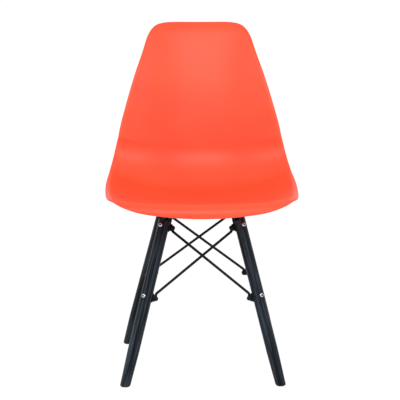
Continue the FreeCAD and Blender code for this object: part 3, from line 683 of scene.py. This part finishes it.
# Foot glides. Black moulded nylon pads, 3 mm thick, under the level ends of the dowels; a spigot on
# each is pushed up into the wood. The edges are rounded, with a small gate mark in the middle below.
GLIDE_RADIUS = 10.8
GLIDE_EDGE = 0.6
GLIDE_BREAK = 0.3
GATE_RADIUS = 2.6
GATE_DEPTH = 0.5
SPIGOT_RADIUS = 4
GLIDE_PROFILE = [(0, GATE_DEPTH), (GATE_RADIUS, GATE_DEPTH), (GATE_RADIUS + GATE_DEPTH, 0),
                 (GLIDE_RADIUS - GLIDE_EDGE, 0), (GLIDE_RADIUS - 0.3 * GLIDE_EDGE, 0.3 * GLIDE_EDGE),
                 (GLIDE_RADIUS, GLIDE_EDGE), (GLIDE_RADIUS, LEG_END - GLIDE_BREAK),
                 (GLIDE_RADIUS - GLIDE_BREAK, LEG_END), (0, LEG_END)]
SPIGOT_PROFILE = [(0, -1), (SPIGOT_RADIUS, -1), (SPIGOT_RADIUS, SPIGOT_LENGTH - 1),
                  (SPIGOT_RADIUS - 1, SPIGOT_LENGTH), (0, SPIGOT_LENGTH)]


def mottled(name, shades, roughness, spot, detail=3.0, **shader):
    """A material whose colour and roughness drift between two values over spots of a size in millimetres."""
    material, tree = blank_material(name)
    place = add(tree, "ShaderNodeTexCoord").outputs["Object"]
    drift = add(tree, "ShaderNodeTexNoise", {"Vector": place, "Scale": 1 / (spot * MM), "Detail": detail})
    dark, light = map(linear, shades)
    colour = add(tree, "ShaderNodeMix", {0: drift, 6: dark, 7: light}, data_type="RGBA")
    rough = add(tree, "ShaderNodeMapRange", {"Value": drift, "To Min": roughness[0], "To Max": roughness[1]})
    surface = add(tree, "ShaderNodeBsdfPrincipled", {"Base Color": colour, "Roughness": rough, **shader})
    add(tree, "ShaderNodeOutputMaterial", {"Surface": surface})
    return material


# Moulded nylon: even black, a little warmer than the wood, with a dull sheen and scuffs from the floor
moulded_nylon = mottled("moulded_nylon", ("121214", "1C1D1F"), (0.42, 0.60), spot=2.2, detail=4.0, IOR=1.53)
for corner in CORNERS.values():
    end = corner.at(LEG_END)
    pad = moved(lathe("pad", GLIDE_PROFILE, 64), Matrix.Translation(Vector((end.x, end.y, 0)) * MM))
    spigot = moved(lathe("spigot", SPIGOT_PROFILE, SPIGOT_SIDES), frame_of(end, corner.up, corner.out))
    glide = finished("glide_" + corner.name, combined(pad, spigot, "UNION"), moulded_nylon, 35)
    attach(glide, "root")
    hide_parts("foot_glide_" + corner.name)

# Brackets. Steel strip 2.5 mm thick, bent round the inner side of each dowel into two ears, the upper
# one with a level tab for the seat; pierced, deburred and powder coated, held by the leg screws.
BRACKET_BREAK = 0.35
BREAK_ANGLE = 35
# Satin black powder coat: near-black, faint orange peel about 1.5 mm across, soft highlights
PEEL = 1.5
DUST = 17
powder_coat, tree = blank_material("black_powder_coat")
place = add(tree, "ShaderNodeTexCoord").outputs["Object"]
peel = add(tree, "ShaderNodeTexNoise", {"Vector": place, "Scale": 1 / (PEEL * MM), "Detail": 2.0})
dust = add(tree, "ShaderNodeTexNoise", {"Vector": place, "Scale": 1 / (DUST * MM), "Detail": 3.0})
colour = add(tree, "ShaderNodeMix", {0: dust, 6: linear("0C0F13"), 7: linear("171B20")}, data_type="RGBA")
rough = add(tree, "ShaderNodeMapRange", {"Value": dust, "To Min": 0.28, "To Max": 0.40})
bump = add(tree, "ShaderNodeBump", {"Height": peel, "Strength": 0.12, "Distance": 0.0002})
coat = add(tree, "ShaderNodeBsdfPrincipled",
           {"Base Color": colour, "Roughness": rough, "IOR": 1.5, "Specular IOR Level": 0.12, "Normal": bump})
add(tree, "ShaderNodeOutputMaterial", {"Surface": coat})


def softened(mesh, width):
    """The mesh with its sharp edges rounded over by the width in millimetres."""
    thing = placed("soften", mesh)
    bevel = thing.modifiers.new("edge", "BEVEL")
    bevel.width = width * MM
    bevel.segments = 2
    bevel.limit_method = "ANGLE"
    bevel.angle_limit = math.radians(BREAK_ANGLE)
    bevel.use_clamp_overlap = True
    return evaluated(thing)


for corner in CORNERS.values():
    for level in SCREW_LEVELS:
        node = "%s_bracket_%s" % (level, corner.name)
        plate = bmesh.new()
        plate.from_mesh(frame["nodes"][node].data)
        plate.transform(frame["nodes"][node].matrix_world)
        bmesh.ops.remove_doubles(plate, verts=plate.verts, dist=2e-6)
        bmesh.ops.dissolve_limit(plate, angle_limit=math.radians(1), verts=plate.verts, edges=plate.edges)
        bmesh.ops.recalc_face_normals(plate, faces=plate.faces)
        mesh = bpy.data.meshes.new(node)
        plate.to_mesh(mesh)
        plate.free()
        bracket = finished(node + "_plate", softened(mesh, BRACKET_BREAK), powder_coat, 30)
        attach(bracket, "root")
        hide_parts(node)

# Braces. Steel rod 6.5 mm thick, two crossing on each side; both ends are turned plumb and pressed
# flat into a pierced eye, and the whole rod is powder coated like the brackets.
# An end has the run from its eye to the corner of its bend, and the radius of the bend.
ROD_RADIUS = 3.25
EYE_RADIUS = 5.85
EYE_PLATE = 3
EYE_HOLE = 2.7
EYE_SQUARE = 0.22
EYE_TIP = 0.4
EAR_REACH = 23.05
EAR_HALF = 1.25
NECK_HALF = 3.5
ROD_OFFSET = 4.8
ROD_START = 6
ROD_ENDS = {"upper": (8.6, 4), "lower": (11.25, 8)}
PRESS_RUN = 4.2
ROD_SIDES = 28
EYE_STEPS = 19
BEND_STEPS = 9
SPAN_STEPS = 22
UP = Vector((0, 0, 1))
CARRIED = {"half_wide": "FLOAT", "half_thick": "FLOAT", "squareness": "FLOAT", "centre": "FLOAT_VECTOR",
           "flow": "FLOAT_VECTOR"}

# Pressed rod: a carrier line swept with a circle, whose section is then widened, flattened and squared
# by the values that the line carries
tree, given = geometry_tree("pressed_rod", {
    "Radius": "Float", "Face": "Vector", "Sides": "Int", "Material": "Material"})
line = {name: add(tree, "GeometryNodeInputNamedAttribute", {"Name": name}, data_type=kind)
        for name, kind in CARRIED.items()}
curve = add(tree, "GeometryNodeMeshToCurve", {"Mesh": given["Geometry"]})
tube = swept(tree, curve, given["Sides"], given["Radius"], 1.0)
across = add(tree, "ShaderNodeVectorMath", {0: given["Face"], 1: line["flow"]}, operation="CROSS_PRODUCT")
offset = add(tree, "ShaderNodeVectorMath", {0: add(tree, "GeometryNodeInputPosition"), 1: line["centre"]},
             operation="SUBTRACT")
shaped = []
for way, half in ((given["Face"], "half_thick"), (across, "half_wide")):
    reach = add(tree, "ShaderNodeVectorMath", {0: offset, 1: way}, operation="DOT_PRODUCT")
    part = add(tree, "ShaderNodeMath", {0: reach, 1: given["Radius"]}, operation="DIVIDE")
    size = add(tree, "ShaderNodeMath", {0: part}, operation="ABSOLUTE")
    size = add(tree, "ShaderNodeMath", {0: size, 1: line["squareness"]}, operation="POWER")
    sign = add(tree, "ShaderNodeMath", {0: part}, operation="SIGN")
    size = add(tree, "ShaderNodeMath", {0: sign, 1: size}, operation="MULTIPLY")
    size = add(tree, "ShaderNodeMath", {0: size, 1: line[half]}, operation="MULTIPLY")
    shaped.append(add(tree, "ShaderNodeVectorMath", {0: way, 3: size}, operation="SCALE"))
section = add(tree, "ShaderNodeVectorMath", {0: shaped[0], 1: shaped[1]}, operation="ADD")
place = add(tree, "ShaderNodeVectorMath", {0: line["centre"], 1: section}, operation="ADD")
pressed = add(tree, "GeometryNodeSetPosition", {"Geometry": tube, "Position": place})
rod_tree = finish_tree(tree, pressed, (given["Material"], True))


def end_path(ear, way, onward, run, bend):
    """Places and directions along one end, from the far edge of its eye to the end of its bend."""
    reach = bend * math.tan(way.angle(onward) / 2)
    places = [ear - way * (EYE_RADIUS * math.cos(math.pi * share)) for share in np.linspace(0, 1, EYE_STEPS)]
    ways = [way] * EYE_STEPS
    side = (onward - way * onward.dot(way)).normalized()
    for swing in way.angle(onward) * np.linspace(0, 1, BEND_STEPS):
        along = run - reach + bend * math.sin(swing)
        places.append(ear + way * along + side * bend * (1 - math.cos(swing)))
        ways.append(way * math.cos(swing) + side * math.sin(swing))
    return places, ways


class Side:
    """One side of the base: the dowels at its left and right, seen from outside, and its two braces."""

    def __init__(self, name, left, right):
        self.name = name
        self.left = CORNERS[left]
        self.right = CORNERS[right]
        level = self.left.along == self.right.along
        self.toward = self.left.to_side if level else self.left.to_end
        self.back = self.right.to_side if level else self.right.to_end
        self.out = self.toward.cross(self.left.up).normalized()

    def ears(self, outer):
        """Upper and lower ear of the outer or the inner brace, with the dowel each belongs to."""
        ends = [(self.left, self.toward), (self.right, self.back)]
        ends = ends if outer else ends[::-1]
        return {level: (corner, corner.at(SCREW_LEVELS[level]) + way * EAR_REACH)
                for level, (corner, way) in zip(("upper", "lower"), ends)}


SIDES = [Side("front", "front_left", "front_right"), Side("right", "front_right", "back_right"),
         Side("back", "back_right", "back_left"), Side("left", "back_left", "front_left")]

for side in SIDES:
    for outer in (True, False):
        face = side.out if outer else -side.out
        plumb = (UP - face * face.dot(UP)).normalized()
        ears = side.ears(outer)
        start, end = ears["upper"][1], ears["lower"][1]
        corner_high = start - plumb * ROD_ENDS["upper"][0]
        corner_low = end + plumb * ROD_ENDS["lower"][0]
        onward = (corner_low - corner_high).normalized()
        high, high_ways = end_path(start, -plumb, onward, *ROD_ENDS["upper"])
        low, low_ways = end_path(end, plumb, -onward, *ROD_ENDS["lower"])
        span = [high[-1].lerp(low[-1], share) for share in np.linspace(0, 1, SPAN_STEPS)[1:-1]]
        places = high + span + low[::-1]
        ways = high_ways + [onward] * len(span) + [-way for way in low_ways[::-1]]
        near = np.array([min((p - start).length, (p - end).length) for p in places])
        beyond = np.array([min((start - p).dot(plumb), (p - end).dot(plumb)) for p in places])
        rounded = ease(near, ROD_START, ROD_START + PRESS_RUN)
        eye = np.sqrt(np.clip(EYE_RADIUS ** 2 - near ** 2, 0, None))
        neck = np.interp(rounded, (0, 1), (NECK_HALF, ROD_RADIUS))
        lift = np.interp(rounded, (0, 1), (EAR_HALF + EYE_PLATE / 2, ROD_OFFSET))
        line = bpy.data.meshes.new("line")
        line.from_pydata([(p + face * float(up)) * MM for p, up in zip(places, lift)],
                         [(k, k + 1) for k in range(len(places) - 1)], [])
        carry(line, "half_wide", np.maximum(eye, np.where(beyond < 0, EYE_TIP, neck)) * MM)
        carry(line, "half_thick", np.interp(rounded, (0, 1), (EYE_PLATE / 2, ROD_RADIUS)) * MM)
        carry(line, "squareness", np.interp(rounded, (0, 1), (EYE_SQUARE, 1)))
        carry(line, "centre", [vertex.co for vertex in line.vertices])
        carry(line, "flow", ways)
        mesh = welded(grown("brace", rod_tree, {"Radius": ROD_RADIUS * MM, "Face": face, "Sides": ROD_SIDES,
                                                "Material": powder_coat}, line))
        for ear in (start, end):
            hole_frame = frame_of(ear, face, plumb)
            mesh = bored(mesh, [(EYE_HOLE, -EYE_PLATE, 3 * EYE_PLATE)], HOLE_SIDES, hole_frame)
        node = "brace_%s_%s" % (side.name, "outer" if outer else "inner")
        brace = finished(node + "_rod", mesh, angle=38)
        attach(brace, "root")
        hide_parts(node)

# Leg screws. Eight zinc-plated button screws with M6 threads and hexagon sockets, put in from outside
# through the spot faces of the dowels; they hold the brackets. The faces inside a socket take the black
# oxide material as painted shade, standing in for the deep shade in a real one.
LEG_SCREW_HEAD = 5
LEG_SCREW_SHANK = 3
LEG_SCREW_KEY = 5
LEG_SCREW_PITCH = 1.0
LEG_SCREW_THREAD = 9
SADDLE_OUTSIDE = 17
LEG_SCREW_LENGTH = SCREW_SEAT + SADDLE_OUTSIDE + 1
LEG_SCREW_CROWN = [(LEG_SCREW_HEAD, 0.9), (4.85, 1.5), (4.5, 2.1), (4.0, 2.6), (3.5, 2.9), (3.1, 3), (0, 3)]

# Set of fasteners: a pattern placed at each point of a mesh, turned to the axis and side it carries
tree, given = geometry_tree("set_of_fasteners", {
    "Pattern": "Object", "Material": "Material", "Recess Material": "Material"})
point = {name: add(tree, "GeometryNodeInputNamedAttribute", {"Name": name}, data_type=kind)
         for name, kind in (("axis", "FLOAT_VECTOR"), ("side", "FLOAT_VECTOR"), ("recess", "FLOAT"))}
turn = add(tree, "FunctionNodeAxesToRotation",
           {"Primary Axis": point["axis"], "Secondary Axis": point["side"]},
           primary_axis="Z", secondary_axis="X")
pattern = add(tree, "GeometryNodeObjectInfo", {"Object": given["Pattern"]}).outputs["Geometry"]
copies = add(tree, "GeometryNodeInstanceOnPoints",
             {"Points": given["Geometry"], "Instance": pattern, "Rotation": turn})
# Faces marked as inside a socket take the second material: painted shade
sunk = add(tree, "ShaderNodeMath", {0: point["recess"], 1: 0.5}, operation="GREATER_THAN")
fastener_tree = finish_tree(tree, copies, (given["Material"], True), (given["Recess Material"], sunk))


def fasteners(node, pattern, places, material):
    """One piece for a CAD node: the pattern at each (point in millimetres, axis, side)."""
    points = bpy.data.meshes.new("points")
    points.from_pydata([point * MM for point, _, _ in places], [], [])
    carry(points, "axis", [axis for _, axis, _ in places])
    carry(points, "side", [side for _, _, side in places])
    master = placed("pattern", pattern)
    # The faces inside the sockets take black oxide as painted shade
    mesh = grown(node, fastener_tree,
                 {"Pattern": master, "Material": material, "Recess Material": black_oxide}, points)
    bpy.data.objects.remove(master)
    piece = finished(node + "_set", mesh, angle=35)
    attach(piece, "root")
    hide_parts(node)


def threaded(radius, low, high, pitch):
    """Profile of a threaded length: ridges as high as the thread, the crests at the radius."""
    turns = int((high - low) / pitch)
    root = radius - 0.55 * pitch
    profile = []
    for k in range(turns):
        at = low + k * pitch
        profile += [(root, at), (radius, at + 0.5 * pitch)]
    return profile + [(root, low + turns * pitch), (radius, low + turns * pitch + 0.4)]


def socket_screw(crown, head, shank, length, key, threads, pitch):
    """A screw with its head above Z = 0 by the crown profile, and a hexagon socket sunk into it."""
    profile = [(0, -length), (shank - 0.6, -length)]
    profile += threaded(shank, 0.5 - length, threads - length, pitch)
    profile += [(shank, 0), (head - 0.15, 0), (head, 0.2)] + crown
    corner = key / math.sqrt(3)
    above = crown[-1][1] + 1
    hexagon = [[(corner * reach * math.cos(k * math.pi / 3), corner * reach * math.sin(k * math.pi / 3), z)
                for k in range(6)] for reach, z in ((0, -0.9), (1, 0.1), (1, above), (0, above))]
    mesh = combined(lathe("screw", profile, 64), loft("socket", hexagon, MM), "DIFFERENCE")
    # The socket's own faces are marked for the painted shade material
    in_socket = [vertex.co.z > -MM and vertex.co.xy.length < (corner + 0.05) * MM for vertex in mesh.vertices]
    carry(mesh, "recess", [all(in_socket[v] for v in face.vertices) for face in mesh.polygons], "FACE")
    return mesh


# Bright zinc plate: pale cool grey with a faint mottle. Black oxide: near-black steel, an oily sheen.
zinc_plate = mottled("bright_zinc_plate", ("B9BDC0", "D6D9DB"), (0.24, 0.36), spot=1.1, Metallic=1.0)
black_oxide = mottled("black_oxide_steel", ("1B1D20", "292C30"), (0.34, 0.48), spot=1.4, Metallic=1.0)
leg_screw = socket_screw(LEG_SCREW_CROWN, LEG_SCREW_HEAD, LEG_SCREW_SHANK, LEG_SCREW_LENGTH, LEG_SCREW_KEY,
                         LEG_SCREW_THREAD, LEG_SCREW_PITCH)
places = [(corner.at(level) + corner.out * SCREW_SEAT, corner.out, corner.up)
          for corner in CORNERS.values() for level in SCREW_LEVELS.values()]
fasteners("leg_screws", leg_screw, places, zinc_plate)

# Brace screws and nuts. Sixteen M5 screws with domed heads hold the flattened eyes against the ears of
# the brackets, each with a hexagon nut behind; both are steel with a black oxide finish.
BRACE_SCREW_HEAD = 5.5
BRACE_SCREW_SHANK = 2.5
BRACE_SCREW_KEY = 3
BRACE_SCREW_LENGTH = 10.5
BRACE_SCREW_PITCH = 0.8
BRACE_SCREW_THREAD = 6
BRACE_SCREW_CROWN = [(5.5, 1.0), (5.3, 1.62), (4.8, 2.25), (4.1, 2.85), (3.2, 3.3), (2.4, 3.52), (1.9, 3.6),
                     (0, 3.6)]
NUT_FLATS = 8
NUT_HEIGHT = 4
NUT_BREAK = 0.4
NUT_SIDES = 72
screw_places, nut_places = [], []
for side in SIDES:
    for outer in (True, False):
        for corner, ear in side.ears(outer).values():
            head_face = EAR_HALF + (EYE_PLATE if outer else 0)
            nut_face = EAR_HALF + (0 if outer else EYE_PLATE)
            screw_places.append((ear + side.out * head_face, side.out, corner.up))
            nut_places.append((ear - side.out * (nut_face + NUT_HEIGHT), side.out, corner.up))
brace_screw = socket_screw(BRACE_SCREW_CROWN, BRACE_SCREW_HEAD, BRACE_SCREW_SHANK, BRACE_SCREW_LENGTH,
                           BRACE_SCREW_KEY, BRACE_SCREW_THREAD, BRACE_SCREW_PITCH)
fasteners("brace_screws", brace_screw, screw_places, black_oxide)

# The nut's hexagon has both faces turned to a cone of 30 degrees, and its bore is countersunk
swing = np.arange(NUT_SIDES) * 2 * math.pi / NUT_SIDES
hexagon = NUT_FLATS / 2 / np.cos((swing - math.pi / 6) % (math.pi / 3) - math.pi / 6)
crown = NUT_FLATS / 2 - 0.15
drop = (hexagon - crown) * math.tan(math.pi / 6)
mouth = BRACE_SCREW_SHANK + NUT_BREAK
nut = lathe("nut", [(mouth, 0), (crown, 0), (hexagon, drop), (hexagon, NUT_HEIGHT - drop),
                    (crown, NUT_HEIGHT), (mouth, NUT_HEIGHT), (BRACE_SCREW_SHANK, NUT_HEIGHT - NUT_BREAK),
                    (BRACE_SCREW_SHANK, NUT_BREAK), (mouth, 0)], NUT_SIDES)
fasteners("brace_nuts", nut, nut_places, black_oxide)

# Seat bolts and washers. Four zinc-plated M6 socket bolts go up through the bracket tabs and the rubber
# mounts into the shell's inserts, each with a plain washer under its head.
BOLT_LEVEL = 390.8
BOLT_END = 411
BOLT_HEAD = 5
BOLT_SHANK = 3
BOLT_KEY = 5
BOLT_PITCH = 1.0
BOLT_THREAD = 14
BOLT_CROWN = [(5, 0.3), (5, 5.5), (4.85, 5.85), (4.5, 6), (0, 6)]
CLEAR = 3.3
WASHER_RADIUS = 8
WASHER_THICKNESS = 1.2
WASHER_EDGE = 0.15
FORWARD = Vector((1, 0, 0))


def ring(name, radius, bore, height, edge, waist=0.0):
    """A turned ring with broken edges, drawn in by the waist at half its height."""
    profile = [(bore + edge, 0), (radius - edge, 0), (radius, edge)]
    if waist:
        profile += [(radius - waist * 0.8, height * 0.35), (radius - waist, height * 0.5),
                    (radius - waist * 0.8, height * 0.65)]
    profile += [(radius, height - edge), (radius - edge, height), (bore + edge, height),
                (bore, height - edge), (bore, edge), (bore + edge, 0)]
    return lathe(name, profile, 64)


seat_bolt = socket_screw(BOLT_CROWN, BOLT_HEAD, BOLT_SHANK, BOLT_END - BOLT_LEVEL, BOLT_KEY, BOLT_THREAD,
                         BOLT_PITCH)
places = [(mount + UP * BOLT_LEVEL, -UP, FORWARD) for mount in MOUNTS]
fasteners("seat_bolts", seat_bolt, places, zinc_plate)
washer = ring("washer", WASHER_RADIUS, CLEAR, WASHER_THICKNESS, WASHER_EDGE)
places = [(mount + UP * BOLT_LEVEL, UP, FORWARD) for mount in MOUNTS]
fasteners("seat_washers", washer, places, zinc_plate)

# Shell inserts. Four turned brass bushes pressed into the bores of the bosses, with an M6 thread.
# Turned brass: warm yellow, bare and a little dull.
INSERT_BORE = 3
INSERT_EDGE = 0.3
turned_brass = mottled("turned_brass", ("B8964C", "D2B268"), (0.22, 0.34), spot=2, Metallic=1.0)
insert = ring("insert", INSERT_RADIUS, INSERT_BORE, INSERT_LENGTH, INSERT_EDGE)
places = [(mount + UP * BOSS_LEVEL, UP, FORWARD) for mount in MOUNTS]
fasteners("shell_inserts", insert, places, turned_brass)

# Rubber mounts. Four moulded rubber discs between the bracket tabs and the bosses, squeezed by the seat
# bolts, so their sides draw in. Moulded rubber: matt black with a fine bloom, lighter where handled.
MOUNT_THICKNESS = 5
MOUNT_EDGE = 0.5
MOUNT_WAIST = 0.5
moulded_rubber = mottled("moulded_rubber", ("141414", "212121"), (0.70, 0.88), spot=2.9, detail=4.0, IOR=1.52)
mount_disc = ring("mount", MOUNT_RADIUS, CLEAR, MOUNT_THICKNESS, MOUNT_EDGE, MOUNT_WAIST)
places = [(mount + UP * (BOSS_LEVEL - MOUNT_THICKNESS), UP, FORWARD) for mount in MOUNTS]
fasteners("rubber_mounts", mount_disc, places, moulded_rubber)
